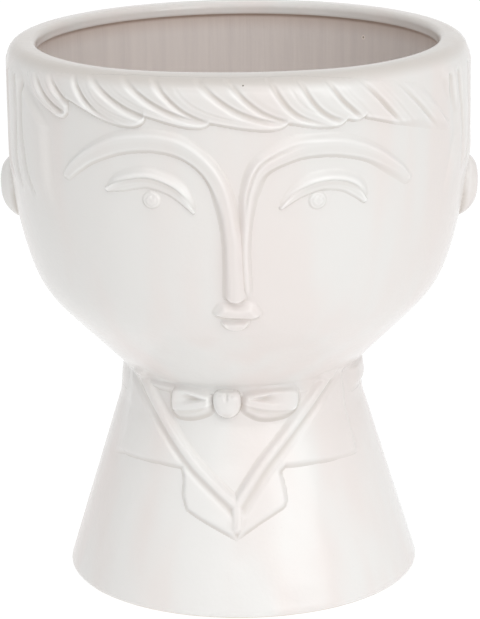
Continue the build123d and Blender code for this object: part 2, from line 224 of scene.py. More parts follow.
def head_side(grow):
    """Head's side from the neck plane to the temple, moved outwards by grow."""
    jaw = np.array([RIM_RADIUS - JAW_INSET, NECK_Z + JAW_HEIGHT])
    temple_z = RIM_Z - TEMPLE_DROP
    rise = temple_z - jaw[1]
    cheek = (JAW_INSET ** 2 + rise ** 2) / (2 * JAW_INSET)
    cheek_centre = np.array([RIM_RADIUS - cheek, temple_z])
    slope = math.atan2(JAW_HEIGHT, jaw[0] - HEAD_FOOT_RADIUS)
    along = np.array([math.cos(slope), math.sin(slope)])
    start = np.array([HEAD_FOOT_RADIUS, NECK_Z]) + JAW_ROUND * np.array([-along[1], along[0]])
    gap = start - cheek_centre
    half = along @ gap
    jaw_centre = start + along * (math.sqrt(half ** 2 - gap @ gap + (cheek - JAW_ROUND) ** 2) - half)
    jaw_end = math.atan2(*(jaw_centre - cheek_centre)[::-1])
    jaw_arc = arc(jaw_centre, JAW_ROUND + grow, slope - math.pi / 2, jaw_end, 0.8)
    foot = jaw_arc[0] - along * (jaw_arc[0][1] - NECK_Z) / along[1]
    return joined(straight(foot, jaw_arc[0]), jaw_arc, arc(cheek_centre, cheek + grow, jaw_end, 0.0, 1.2))


def lip_centre():
    return (RIM_RADIUS - LIP_OUTER_ROUND, RIM_Z - LIP_OUTER_ROUND)


def softened(points, reach):
    """Run of points with its bends eased, its ends kept."""
    length = np.concatenate([[0], np.cumsum(np.hypot(*np.diff(points, axis=0).T))])
    near = np.minimum(reach, np.minimum(length, length[-1] - length))
    shares = np.linspace(-1, 1, 9)
    at = length[:, None] + near[:, None] * shares
    return np.stack([np.interp(at, length, values).mean(axis=1) for values in points.T], axis=1)


def head_outside():
    """Head's skin from the neck to the lip's crest."""
    side = softened(head_side(0.0), JAW_EASE)
    shoulder = arc(lip_centre(), LIP_OUTER_ROUND, 0.0, math.pi / 2, 0.3)
    return joined(side, straight(side[-1], shoulder[0]), shoulder)


def pedestal_outside():
    """Pedestal's skin from the foot to the neck."""
    foot, shoulder = (FOOT_RADIUS, 0.0), (SHOULDER_RADIUS, NECK_Z - NECK_LENGTH)
    neck = (NECK_RADIUS, NECK_Z)
    foot_arc = rounded_corner((0.0, 0.0), foot, shoulder, FOOT_ROUND)
    bend = rounded_corner(foot, shoulder, neck, SHOULDER_ROUND)
    return joined(foot_arc, straight(foot_arc[-1], bend[0]), bend, straight(bend[-1], neck))


def joint_round():
    """Slip that fills the corner where the neck's line meets the head's foot."""
    foot, after = head_outside()[[0, 4]]
    slope = (after - foot) / (after[1] - foot[1])
    meet = foot - slope * (foot[0] - NECK_RADIUS) / slope[0]
    shoulder = (SHOULDER_RADIUS, NECK_Z - NECK_LENGTH)
    return rounded_corner(shoulder, meet, after, JOINT_ROUND)


def coat_outside():
    """Skin under the coat: the pedestal's, the joint's and the foot of the head's."""
    bust, joint, head = pedestal_outside(), joint_round(), head_outside()
    below = bust[bust[:, 1] < joint[0][1] - 0.5]
    above = head[(head[:, 1] > joint[-1][1] + 0.2) & (head[:, 1] < NECK_Z + COAT_REACH)]
    return joined(below, joint, above)


HEAD = Curve(head_outside())
COAT = Curve(coat_outside())


# Meshes
def new_piece(name, points, faces, materials, slots=None, smooth=True):
    """Mesh object from points in millimetres, with one material, or several picked per face."""
    mesh = bpy.data.meshes.new(name)
    mesh.from_pydata((np.asarray(points) * MM).tolist(), [], np.asarray(faces).tolist())
    for material in materials:
        mesh.materials.append(material)
    if slots is not None:
        mesh.polygons.foreach_set("material_index", np.asarray(slots, np.int32))
    mesh.polygons.foreach_set("use_smooth", np.full(len(mesh.polygons), smooth))
    mesh.update()
    piece = bpy.data.objects.new(name, mesh)
    bpy.context.scene.collection.objects.link(piece)
    return piece


def turned_piece(name, section, materials, slots, thicker=None):
    """Closed ring turned from a closed section that doesn't touch the axis; slots give each edge's material.
    thicker gives how far points move towards the axis, for angle, radius and height."""
    count = len(section)
    turn = np.linspace(-math.pi, math.pi, TURNS, endpoint=False)
    r, z = section[:, 0][None, :] + 0 * turn[:, None], section[:, 1][None, :] + 0 * turn[:, None]
    if thicker is not None:
        r = r - thicker(np.degrees(turn)[:, None], r, z)
    points = np.stack([r * np.sin(turn)[:, None], -r * np.cos(turn)[:, None], z], axis=-1)
    column, row = np.meshgrid(np.arange(TURNS), np.arange(count), indexing="ij")
    after, over = (column + 1) % TURNS, (row + 1) % count
    faces = np.stack([column * count + row, after * count + row, after * count + over, column * count + over], -1)
    return new_piece(name, points.reshape(-1, 3), faces.reshape(-1, 4), materials, np.tile(slots, TURNS))


def mean_around(height, reach, above, below):
    """Mean height a few cells to both sides, above and below, with weights for the last two."""
    wide = np.pad(height, reach, mode="edge")
    rows, columns = height.shape
    level, upright = wide[reach:-reach], wide[:, reach:-reach]
    sides = level[:, :columns] + level[:, 2 * reach:]
    return (sides + above * upright[2 * reach:] + below * upright[:rows]) / (2 + above + below)


def filled_corners(keep):
    """Cells to keep, without cells that touch only at a corner."""
    keep = keep.copy()
    while True:
        a, b, c, d = keep[:-1, :-1], keep[:-1, 1:], keep[1:, :-1], keep[1:, 1:]
        crossing = (a & d & ~b & ~c) | (b & c & ~a & ~d)
        if not crossing.any():
            return keep
        for view in (a, b, c, d):
            view |= crossing


def pressed_piece(name, curve, angles, heights, height, step, material):
    """Closed piece on a turned skin. height gives how far it stands off the skin for angle, x and z; it is cut off
    where it runs out, just under the skin."""
    low, high = curve.length_at(heights[0]), curve.length_at(heights[1])
    span = math.radians(angles[1] - angles[0]) * curve.at(high)[0]
    turn = np.radians(np.linspace(*angles, spaced(span, step)))
    s = np.linspace(low, high, spaced(high - low, step))
    r, z, out_r, out_z = (values[:, None] + 0 * turn for values in curve.at(s))
    x = r * np.sin(turn)
    raw = height(np.degrees(turn) + 0 * r, x, z)
    lift = raw - SINK
    keep = raw > 0.3 * SINK
    cells = keep[:-1, :-1] | keep[1:, :-1] | keep[:-1, 1:] | keep[1:, 1:]
    cells = filled_corners(cells)

    def placed(off):
        radius = r + out_r * off
        return np.stack([radius * np.sin(turn), -radius * np.cos(turn), z + out_z * off], axis=-1).reshape(-1, 3)

    points = np.concatenate([placed(lift), placed(np.full(r.shape, -ROOT))])
    faces = shell_faces(cells)
    used, faces = np.unique(faces, return_inverse=True)
    piece = new_piece(name, points[used], faces.reshape(-1, 4), [material])
    # Where glaze pools, with painted shade there and under overhangs (what lies above counts twice), and where it
    # breaks pale on crests, with a painted highlight there
    pool_and_shade = (mean_around(raw, round(POOL_AND_SHADE_REACH / step), 2, 0) - raw) / POOL_AND_SHADE_DEPTH
    crest_and_highlight = (raw - mean_around(raw, round(CREST_AND_HIGHLIGHT_REACH / step), 1, 1)) / CREST_AND_HIGHLIGHT_DEPTH
    for label, shares in (("pool_and_shade", pool_and_shade), ("crest_and_highlight", crest_and_highlight)):
        shares = np.tile(np.clip(shares, 0, 1).ravel(), 2)[used]
        values = piece.data.attributes.new(label, "FLOAT", "POINT")
        values.data.foreach_set("value", shares.astype(np.float32))
    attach(piece, "planter")
    return piece


def shell_faces(cells):
    """Top, bottom and wall faces over a set of grid cells. Bottom points follow all the top ones."""
    rows, columns = cells.shape[0] + 1, cells.shape[1] + 1
    under = rows * columns
    edged = np.pad(cells, 1)

    def quads(mask, *corners):
        i, j = np.nonzero(mask)
        return np.stack([(i + di) * columns + j + dj + under * low for di, dj, low in corners], axis=1)

    missing = {
        "below": cells & ~edged[:-2, 1:-1], "above": cells & ~edged[2:, 1:-1],
        "left": cells & ~edged[1:-1, :-2], "right": cells & ~edged[1:-1, 2:],
    }
    return np.concatenate([
        quads(cells, (0, 0, 0), (0, 1, 0), (1, 1, 0), (1, 0, 0)),
        quads(cells, (1, 0, 1), (1, 1, 1), (0, 1, 1), (0, 0, 1)),
        quads(missing["below"], (0, 1, 0), (0, 0, 0), (0, 0, 1), (0, 1, 1)),
        quads(missing["right"], (1, 1, 0), (0, 1, 0), (0, 1, 1), (1, 1, 1)),
        quads(missing["above"], (1, 0, 0), (1, 1, 0), (1, 1, 1), (1, 0, 1)),
        quads(missing["left"], (0, 0, 0), (1, 0, 0), (1, 0, 1), (0, 0, 1)),
    ])


# Materials
class Nodes:
    """Short way to write a material's node tree."""

    def __init__(self, name):
        self.material = bpy.data.materials.new(name)
        self.material.use_nodes = True
        self.tree = self.material.node_tree
        self.shader = self.tree.nodes["Principled BSDF"]

    def add(self, kind, inputs=None, **settings):
        made = self.tree.nodes.new("ShaderNode" + kind)
        for key, value in settings.items():
            setattr(made, key, value)
        for key, value in (inputs or {}).items():
            self.set(made, key, value)
        return made

    def set(self, made, key, value):
        if isinstance(value, bpy.types.NodeSocket):
            self.tree.links.new(value, made.inputs[key])
        else:
            made.inputs[key].default_value = value

    def math(self, operation, a, b=0.0, clamp=False):
        return self.add("Math", {0: a, 1: b}, operation=operation, use_clamp=clamp).outputs[0]

    def ramp(self, value, low, high):
        """0 below low, 1 above high."""
        made = self.add("MapRange", {"Value": value, "From Min": low, "From Max": high}, interpolation_type="SMOOTHSTEP")
        return made.outputs["Result"]

    def noise(self, vector, scale, detail=3.0, roughness=0.5):
        made = self.add("TexNoise", {"Vector": vector, "Scale": scale, "Detail": detail, "Roughness": roughness})
        return made.outputs["Fac"]

    def mix(self, factor, a, b):
        made = self.add("Mix", {0: factor, 6: a, 7: b}, data_type="RGBA")
        return made.outputs[2]

    def place(self):
        return self.add("TexCoord").outputs["Object"]

    def spot(self, place, middle, radius):
        """1 within a small ball round a point given in millimetres."""
        centre = tuple(v * MM for v in middle)
        away = self.add("VectorMath", {0: place, 1: centre}, operation="DISTANCE").outputs["Value"]
        return self.ramp(away, radius * MM, 0.5 * radius * MM)

    def bump(self, height, distance, normal=None):
        made = self.add("Bump", {"Height": height, "Strength": 1.0, "Distance": distance})
        if normal is not None:
            self.set(made, "Normal", normal)
        return made.outputs["Normal"]


def linear(red, green, blue):
    """Linear colour from the usual 0 to 255 values."""
    values = np.array([red, green, blue]) / 255.0
    curved = np.where(values <= 0.04045, values / 12.92, ((values + 0.055) / 1.055) ** 2.4)
    return tuple(float(v) for v in curved) + (1.0,)


# Share of thick glaze from the rim down to the foot
GLAZE_RUN = {"From Min": RIM_Z * MM, "From Max": 40.0 * MM, "To Min": 0.0, "To Max": 0.52}
# Share of the lip's tint, painted shade that darkens the lip's top, from none at the back of the rim to full at the
# front
LIP_PAINTED_SHADE = {"From Min": RIM_RADIUS * MM, "From Max": 0.0, "To Min": 0.0, "To Max": 1.0}


def glaze(name, pale, tinted_and_reflected, thick_glaze_and_highlight, pooled_and_shaded, lip, specks=()):
    """Glossy glaze that ran down: whiter and thicker towards the foot; paler on crests, partly where the glaze breaks
    and partly a painted highlight; warmer and darker where it pools, with painted shade in hollows and under
    overhangs; a lip tint that is partly thin glaze and partly painted shade, strongest at the front; faint upright
    pinkish clouds, partly painted reflection; a ripple and kiln specks."""
    n = Nodes(name)
    place = n.place()
    # Faint upright pinkish clouds: partly glaze tone that differs at random, partly a painted reflection of upright
    # streaks of light
    upright = n.add("Mapping", {"Vector": place, "Scale": (1.0, 1.0, 0.15)}).outputs["Vector"]
    cloud_and_reflection = n.ramp(n.noise(upright, 40.0, 2.0), 0.38, 0.66)
    axes = n.add("SeparateXYZ", {0: place})
    run = n.add("MapRange", {"Value": axes.outputs["Z"], **GLAZE_RUN}).outputs["Result"]
    # Crests whiter: partly glaze breaking pale, partly a painted highlight
    crest_and_highlight = n.add("Attribute", attribute_name="crest_and_highlight").outputs["Fac"]
    colour = n.mix(n.math("MAXIMUM", run, n.math("MULTIPLY", crest_and_highlight, 0.9)), linear(*pale), linear(*thick_glaze_and_highlight))
    colour = n.mix(n.math("MULTIPLY", cloud_and_reflection, 0.3), colour, linear(*tinted_and_reflected))
    # The lip's top takes a greyer tint: partly thin glaze, partly painted shade, fading out towards the back
    thin_and_shaded_lip = n.ramp(axes.outputs["Z"], (RIM_Z - 5.0) * MM, (RIM_Z - 0.6) * MM)
    painted_shade_to_front = n.add("MapRange", {"Value": axes.outputs["Y"], **LIP_PAINTED_SHADE}).outputs["Result"]
    colour = n.mix(n.math("MULTIPLY", thin_and_shaded_lip, painted_shade_to_front), colour, linear(*lip))
    # Pooled glaze, darker and warmer, with painted shade in hollows and under overhangs
    pool_and_shade = n.add("Attribute", attribute_name="pool_and_shade").outputs["Fac"]
    colour = n.mix(n.math("MULTIPLY", pool_and_shade, 0.75), colour, linear(*pooled_and_shaded))
    grain = n.ramp(n.noise(place, 900.0, 1.0), 0.74, 0.80)
    colour = n.mix(n.math("MULTIPLY", grain, 0.10), colour, linear(*pooled_and_shaded))
    for middle, radius, tone in specks:
        colour = n.mix(n.spot(place, middle, radius), colour, linear(*tone))
    n.set(n.shader, "Base Color", colour)
    rough = n.add("MapRange", {"Value": n.noise(place, 45.0, 2.0), "To Min": 0.13, "To Max": 0.24})
    n.set(n.shader, "Roughness", rough.outputs["Result"])
    n.shader.inputs["IOR"].default_value = 1.5
    ripple = n.bump(n.noise(place, 60.0, 1.0), 0.0006)
    n.set(n.shader, "Normal", n.bump(n.noise(place, 420.0, 2.0), 0.00006, ripple))
    return n.material


def inner_glaze(name, specks=()):
    """Thin taupe glaze that ran down the inside in upright streaks, with painted shade under the lip's bead: a soft
    warm band and a thin dark brown line, the line partly where the glaze breaks.
    """
    n = Nodes(name)
    place = n.place()
    axes = n.add("SeparateXYZ", {0: place})
    turn = n.math("ARCTAN2", axes.outputs["X"], axes.outputs["Y"])
    unrolled = n.add("CombineXYZ", {"X": n.math("MULTIPLY", turn, 6.0), "Z": n.math("MULTIPLY", axes.outputs["Z"], 5.0)})
    streak = n.noise(unrolled.outputs[0], 2.2, 3.0, 0.6)
    on_wall = n.ramp(axes.outputs["Z"], (NECK_Z + FLOOR_THICKNESS + 1.0) * MM, (NECK_Z + FLOOR_THICKNESS + 20.0) * MM)
    share = n.math("MULTIPLY", n.ramp(streak, 0.3, 0.75), on_wall)
    colour = n.mix(share, linear(224, 216, 211), linear(215, 207, 203))
    # Painted shade under the lip's bead: a wide soft band, then a thin dark brown line that is partly the glaze
    # breaking there
    for reach, share, tone in ((8.0, 0.6, (198, 178, 166)), (2.4, 0.8, (158, 130, 112))):
        shade_and_break_under_lip = n.ramp(axes.outputs["Z"], (RIM_Z - BEAD_DEPTH - reach) * MM, (RIM_Z - BEAD_DEPTH) * MM)
        colour = n.mix(n.math("MULTIPLY", shade_and_break_under_lip, share), colour, linear(*tone))
    for middle, radius, tone in specks:
        colour = n.mix(n.spot(place, middle, radius), colour, linear(*tone))
    n.set(n.shader, "Base Color", colour)
    rough = n.add("MapRange", {"Value": streak, "To Min": 0.22, "To Max": 0.42})
    n.set(n.shader, "Roughness", rough.outputs["Result"])
    run = n.bump(n.math("MULTIPLY", streak, on_wall), 0.0004)
    n.set(n.shader, "Normal", n.bump(n.noise(place, 300.0, 2.0), 0.00008, run))
    return n.material


def bare_clay(name):
    """Unglazed, wiped clay of the foot and the hidden undersides."""
    n = Nodes(name)
    place = n.place()
    tone = n.ramp(n.noise(place, 160.0, 5.0, 0.65), 0.3, 0.75)
    n.set(n.shader, "Base Color", n.mix(tone, linear(226, 217, 204), linear(203, 190, 174)))
    rough = n.add("MapRange", {"Value": tone, "To Min": 0.72, "To Max": 0.9})
    n.set(n.shader, "Roughness", rough.outputs["Result"])
    n.set(n.shader, "Normal", n.bump(n.noise(place, 1500.0, 3.0), 0.00012))
    return n.material


def rubber(name):
    """Dark grey moulded rubber with a dusty bloom."""
    n = Nodes(name)
    place = n.place()
    bloom = n.ramp(n.noise(place, 260.0, 4.0, 0.6), 0.35, 0.8)
    n.set(n.shader, "Base Color", n.mix(bloom, linear(52, 52, 54), linear(78, 77, 76)))
    rough = n.add("MapRange", {"Value": bloom, "To Min": 0.5, "To Max": 0.72})
    n.set(n.shader, "Roughness", rough.outputs["Result"])
    n.set(n.shader, "Normal", n.bump(n.noise(place, 1800.0, 2.0), 0.00008))
    return n.material


# Kiln specks as middle, radius and tone: a dot on the lip, and a small crater with a pale ring inside
RIM_SPECKS = [((3.4, -82.2, 195.7), 0.38, (110, 99, 90))]
CRATER = (46.4, 56.5, 186.6)
INSIDE_SPECKS = [(CRATER, 1.1, (242, 232, 224)), (CRATER, 0.5, (150, 139, 129))]
# White glaze colours in order: pale; pinkish clouds, partly painted reflection; whiter glaze that also carries the
# crests' painted highlight; pooled glaze that also carries painted shade; lip tint, partly painted shade
WHITE = glaze(
    "white_glaze", (226, 224, 221), (232, 212, 206), (243, 242, 240), (204, 196, 188), (207, 201, 195), RIM_SPECKS,
)
TAUPE = inner_glaze("inner_glaze", INSIDE_SPECKS)
CLAY = bare_clay("bare_clay")
RUBBER = rubber("plug_rubber")


# Turned bodies
def make_head_bowl():
    """Bowl with its lip, bead, floor, drain hole and locating ring."""
    mouth = RIM_RADIUS - LIP_WIDTH
    inner_radius = RIM_RADIUS - BOWL_WALL
    floor_z = NECK_Z + FLOOR_THICKNESS
    outside = head_outside()
    bead = arc((mouth + LIP_INNER_ROUND, RIM_Z - LIP_INNER_ROUND), LIP_INNER_ROUND, math.pi / 2, math.pi, 0.3)
    bead_foot = (mouth, RIM_Z - BEAD_DEPTH)
    ledge = (inner_radius, RIM_Z - BEAD_DEPTH - (inner_radius - mouth))
    bead_round = rounded_corner(bead[-1], bead_foot, ledge, 1.2, 0.2)
    inner_side = head_side(-BOWL_WALL)[::-1]
    ledge_round = rounded_corner(bead_foot, ledge, inner_side[0], 1.0, 0.3)
    joint = joint_round()
    lip = joined(joint, outside[outside[:, 1] > joint[-1][1]], bead, bead_round)
    slope = inner_side[-2] - inner_side[-1]
    floor_corner = inner_side[-1] + slope * (FLOOR_THICKNESS / slope[1])
    inner_side = inner_side[inner_side[:, 1] > floor_z + FLOOR_ROUND]
    floor_round = rounded_corner(inner_side[-1], floor_corner, (0.0, floor_z), FLOOR_ROUND)
    drain_top = rounded_corner((NECK_RADIUS, floor_z), (DRAIN_RADIUS, floor_z), (DRAIN_RADIUS, NECK_Z), DRAIN_ROUND, 0.2)
    within = joined(ledge_round, inner_side, floor_round, straight(floor_round[-1], drain_top[0], 3.0), drain_top)
    ring_in, ring_out = RING_RADII
    below = np.array([
        (DRAIN_RADIUS, NECK_Z), (ring_in, NECK_Z), (ring_in, RING_Z), (ring_out, RING_Z), (ring_out, NECK_Z),
    ])
    section = np.concatenate([lip, within, below])
    slots = [0] * (len(lip) - 1) + [1] * (len(within) + 1) + [2] * len(below)

    def swell(angle, r, z):
        within_lip = ease((z - RIM_Z + 34.0) / 26.0) * ease((RIM_RADIUS - 0.5 - r) / 6.0)
        return LIP_SWELL * ease(1 - np.abs(angle) / LIP_SWELL_HALF) * within_lip

    piece = turned_piece("head_bowl", section, [WHITE, TAUPE, CLAY], slots, swell)
    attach(piece, "planter")
    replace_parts(piece, "head_bowl")


def make_pedestal():
    """Hollow pedestal, glazed outside and bare on the foot ring and inside."""
    outside = pedestal_outside()
    slope_in = PEDESTAL_WALL * math.hypot(1.0, (FOOT_RADIUS - SHOULDER_RADIUS) / (NECK_Z - NECK_LENGTH))
    neck_in = (NECK_RADIUS - PEDESTAL_WALL, NECK_Z)
    shoulder_in = (SHOULDER_RADIUS - PEDESTAL_WALL, NECK_Z - NECK_LENGTH)
    foot_in = (FOOT_RADIUS - slope_in, 0.0)
    bend = rounded_corner(neck_in, shoulder_in, foot_in, SHOULDER_ROUND)
    foot_round = rounded_corner(shoulder_in, foot_in, (FOOT_RADIUS, 0.0), FOOT_ROUND)
    within = joined(straight(neck_in, bend[0], 3.0), bend, straight(bend[-1], foot_round[0], 3.0), foot_round)
    section = np.concatenate([outside, within])
    glazed = outside[:-1, 1] > 0.4
    slots = np.concatenate([np.where(glazed, 0, 1), [1], np.ones(len(within), int)])
    piece = turned_piece("pedestal", section, [WHITE, CLAY], slots)
    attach(piece, "planter")
    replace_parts(piece, "pedestal")


# Face
NOSE_TOP = 166.0
NOSE_FOOT = 119.4
NOSE_ROUND = {-1: 2.4, 1: 7.0}
BAND_LEAN = 0.3               # how much lower a brow's band gets towards its lower edge
NOSE_SLOPE = 0.9              # how much wider the nose's right flank is than a brow's upper edge
TURN_SLOPE = 0.6              # the same for the right brow where it turns down
RIDGE_SLOPE = 1.6             # the same for the ridge beside the nose
NOSE_CROWN = 0.25             # how much lower the nose gets towards its left side


def brow_height(path, side):
    """Brow with a ridge along its upper edge, a band that leans in below it and a steep drop to its lower edge.
    Down the nose the left one falls off gently to the right. The right one has a crease inside its ridge where it
    turns down, and its drop becomes a slope to the cheek."""
    def height(angle, x, z):
        offset, distance, share, columns = beside(path, x, z)
        across = -side * offset / columns[..., 0]
        nose = ease((NOSE_TOP - z) / 14.0)
        if side > 0:
            inner = ease((32.0 - x) / 22.0)
            turn = inner * ease((z - 150.0) / 10.0)
            cheek = ease((NOSE_TOP + 6.0 - z) / 16.0)
            soft = TURN_SLOPE * inner + (RIDGE_SLOPE - TURN_SLOPE) * ease((160.0 - z) / 20.0)
            crease = 0.4 * turn * ease(1 - np.abs(across - 0.5) / 0.4)
        else:
            cheek, crease = 0.5 * nose, 0.0
            soft = NOSE_SLOPE * ease((NOSE_TOP - 14.0 - z) / 14.0)
        rise = ease((1.4 + soft - across) / (0.95 + 0.25 * nose + soft))
        crown = 1 - NOSE_CROWN * nose * np.clip((0.5 - across) / 1.6, 0, 1) ** 1.5
        lean = 1 - BAND_LEAN * (1 - nose) * np.clip((0.5 - across) / 1.1, 0, 1)
        drop = ease((across + 1.1 + 0.5 * cheek) / (0.6 + 1.1 * cheek))
        foot = ease((z - NOSE_FOOT - 0.5 * (across - 0.5) ** 2) / NOSE_ROUND[side])
        return columns[..., 1] * rise * crown * lean * drop * foot * (1 - crease)
    return height


# Brow lines from the outer end to the nose's foot: x, z, half width and height
LEFT_BROW = [
    (-57.0, 161.0, 1.7, 0.7), (-53.6, 164.8, 2.3, 1.3), (-48.3, 169.3, 2.8, 1.6), (-39.0, 174.1, 3.5, 1.8),
    (-28.5, 175.9, 3.6, 1.9), (-19.0, 174.7, 3.5, 1.9), (-11.7, 170.4, 3.0, 2.0), (-6.4, 164.1, 2.9, 2.2),
    (-2.9, 155.0, 3.0, 2.4), (-1.5, 146.0, 2.7, 2.6), (-1.1, 136.0, 2.6, 2.9), (-1.0, 116.0, 2.9, 3.2),
]
RIGHT_BROW = [
    (58.2, 158.8, 1.6, 0.7), (54.6, 162.8, 2.2, 1.3), (46.1, 169.4, 2.8, 1.6), (37.3, 172.9, 3.5, 1.8),
    (29.2, 173.9, 3.6, 1.9), (20.2, 172.8, 3.3, 1.9), (9.8, 167.8, 2.7, 2.0), (6.0, 160.4, 2.2, 2.0),
    (4.8, 155.0, 1.8, 2.0), (4.2, 147.0, 1.2, 1.9), (3.8, 138.0, 1.1, 1.75), (4.1, 128.0, 1.1, 1.6),
    (4.9, 117.0, 1.2, 1.1),
]


def make_brows():
    for name, rows, side, angles in (("left_brow", LEFT_BROW, -1, (-52, 8)), ("right_brow", RIGHT_BROW, 1, (-2, 52))):
        path = smooth_path(rows, 90)
        piece = pressed_piece(name, HEAD, angles, (113, 184), brow_height(path, side), 0.35, WHITE)
        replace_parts(piece, name)


# Eyelids as leaves: x, z and half width along each
LEFT_LID = [
    (-42.7, 158.5, 1.0), (-37.8, 160.3, 2.0), (-29.5, 162.1, 2.1), (-22.0, 160.2, 1.9), (-17.7, 157.1, 1.5),
    (-13.7, 152.6, 0.6),
]
RIGHT_LID = [
    (15.7, 153.9, 0.7), (22.0, 158.5, 1.6), (29.2, 160.7, 1.8), (36.4, 159.9, 2.0), (40.8, 157.1, 1.8),
    (43.5, 153.9, 1.0),
]
LID_HEIGHT = 1.2
FOLD_HEIGHT = 1.8             # soft fold over the lid
FOLD_REACH = 3.8


def lid_height(path):
    def height(angle, x, z):
        offset, distance, share, columns = beside(path, x, z)
        half = columns[..., 0]
        across = offset / half
        leaf = LID_HEIGHT * (0.8 + 0.3 * across) * ease((1.15 - abs(across)) / 0.6)
        body = np.sqrt(ease(share / 0.4) * ease((1 - share) / 0.4))
        over = np.where(offset > 0, distance - half, -9.0)
        fold = FOLD_HEIGHT * body * (1 - ease(over / (FOLD_REACH * (0.35 + 0.65 * body)))) * ease((over + 1.5) / 2.0)
        return np.maximum(leaf, fold)
    return height


def make_eyelids():
    for name, rows, angles in (("left_eyelid", LEFT_LID, (-38, -6)), ("right_eyelid", RIGHT_LID, (6, 38))):
        piece = pressed_piece(name, HEAD, angles, (147, 172), lid_height(smooth_path(rows)), 0.3, WHITE)
        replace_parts(piece, name)


PUPIL_RADIUS = 3.1
PUPIL_HEIGHT = 1.0


def make_pupils():
    """Flat beads, each with a ring pressed in and the small pit that the modelling tool left."""
    for name, side, middle in (("left_pupil", -1, (-27.8, 156.1)), ("right_pupil", 1, (27.8, 155.6))):
        def height(angle, x, z):
            away = np.hypot(x - middle[0], z - middle[1]) / PUPIL_RADIUS
            pit = 0.25 * ease(1 - np.hypot(x - middle[0] - 0.6, z - middle[1] - 1.1) / 0.8)
            ring = 0.35 * ease(1 - np.abs(away - 0.66) / 0.26)
            return (PUPIL_HEIGHT - pit - ring) * ease((1.08 - away) / 0.45)
        angles = sorted((side * 14.0, side * 25.0))
        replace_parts(pressed_piece(name, HEAD, angles, (151, 161), height, 0.2, WHITE), name)


def lobe(x, z, middle, radii, tilt=0.0):
    """1 in the middle of an ellipse and 0 at its edge, domed."""
    turn = math.radians(tilt)
    dx, dz = x - middle[0], z - middle[1]
    u = (dx * math.cos(turn) + dz * math.sin(turn)) / radii[0]
    v = (dz * math.cos(turn) - dx * math.sin(turn)) / radii[1]
    return np.sqrt(np.clip(1 - u * u - v * v, 0, 1))


UPPER_LIP = [
    (-8.8, 115.2), (-6.2, 119.4), (-3.6, 120.7), (0.5, 119.4), (5.0, 120.4), (7.6, 118.4), (9.4, 115.0), (7.0, 112.7),
    (1.0, 113.0), (-4.6, 113.2),
]
LOWER_LIP = [(-5.6, 113.0), (-0.2, 112.8), (5.0, 113.1), (3.6, 109.7), (-0.3, 108.2), (-4.2, 109.6)]
LIP_HEIGHT = {"upper_lip": 2.5, "lower_lip": 2.0}
LIP_SLOPE = {"upper_lip": 3.9, "lower_lip": 2.4}


def make_lips():
    for name, outline in (("upper_lip", UPPER_LIP), ("lower_lip", LOWER_LIP)):
        rounded = smooth_outline(outline).tolist()

        def height(angle, x, z):
            return LIP_HEIGHT[name] * ease((inside(rounded, x, z) + 0.7) / LIP_SLOPE[name])
        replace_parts(pressed_piece(name, HEAD, (-8, 8), (105, 122), height, 0.25, WHITE), name)


# Ears
EAR_ANGLE = 91.8
EAR_MIDDLE_Z = {-1: 142.9, 1: 142.3}
EAR_RADII = (8.5, 11.6)
EAR_HEIGHT = 6.1


def make_ears():
    for name, side in (("left_ear", -1), ("right_ear", 1)):
        def height(angle, x, z):
            along = np.radians(angle * side - EAR_ANGLE) * RIM_RADIUS
            middle_z = EAR_MIDDLE_Z[side]
            shell = lobe(along, z, (0, middle_z), EAR_RADII, 8.0)
            hollow = lobe(along, z, (1.0, middle_z + 0.8), (5.0, 8.0), 8.0)
            return EAR_HEIGHT * shell ** 1.3 - 1.8 * ease(0.9 * hollow)
        angles = sorted((side * 85.0, side * 101.0))
        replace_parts(pressed_piece(name, HEAD, angles, (128, 159), height, 0.35, WHITE), name)


# Hair: each groove between two locks of the fringe, as its angle at the lip and how far it sweeps to the right
FRINGE_GROOVES = (
    (-62.9, 12.1), (-57.6, 14.0), (-51.2, 16.5), (-41.7, 11.9), (-36.4, 23.0), (-26.8, 24.0), (-18.9, 15.7), (-8.1, 20.0),
    (-1.0, 15.8), (8.6, 10.5), (15.4, 10.2), (22.1, 12.0), (30.2, 13.9), (39.0, 15.8), (46.0, 16.0),
)
# Scallops of the fringe's lower edge: angle and height where each starts and ends, and its sag
SCALLOPS = (
    (-64.0, 191.0, -41.8, 187.0, 8.2), (-43.0, 187.2, -21.0, 183.5, 3.9), (-21.0, 184.6, -5.5, 183.0, 2.1),
    (-5.5, 183.0, 12.6, 182.4, 2.2), (12.6, 182.4, 27.0, 182.0, 2.0), (27.0, 182.2, 32.2, 183.2, 1.2),
    (32.2, 182.2, 68.0, 170.6, 1.6),
)
LOCK_HEIGHT = 1.65
LOCK_LENGTH = 14.5
RIGHT_EXTRA = 5.5             # longer locks towards the right temple
DARK_WALL = 1.5               # wall of a groove that looks down to the left
DARK_BACK = 5.5               # rounded back of the lock that rises on from that wall
BRIGHT_WALL = 1.7             # wall of a groove that looks up to the right
HAIR_LINE = 3.4               # from a groove to the faint line on the lock beside it
LIP_FADE = 7.0                # height over which the locks grow out of the lip


def fringe_edge(angle):
    edge = np.full(angle.shape, RIM_Z)
    for start, start_z, end, end_z, sag in SCALLOPS:
        share = np.clip((angle - start) / (end - start), 0, 1)
        curve = start_z + (end_z - start_z) * share - sag * 3.4 * share ** 1.4 * (1 - share) ** 0.6
        edge = np.where((angle >= start) & (angle < end), curve, edge)
    return edge


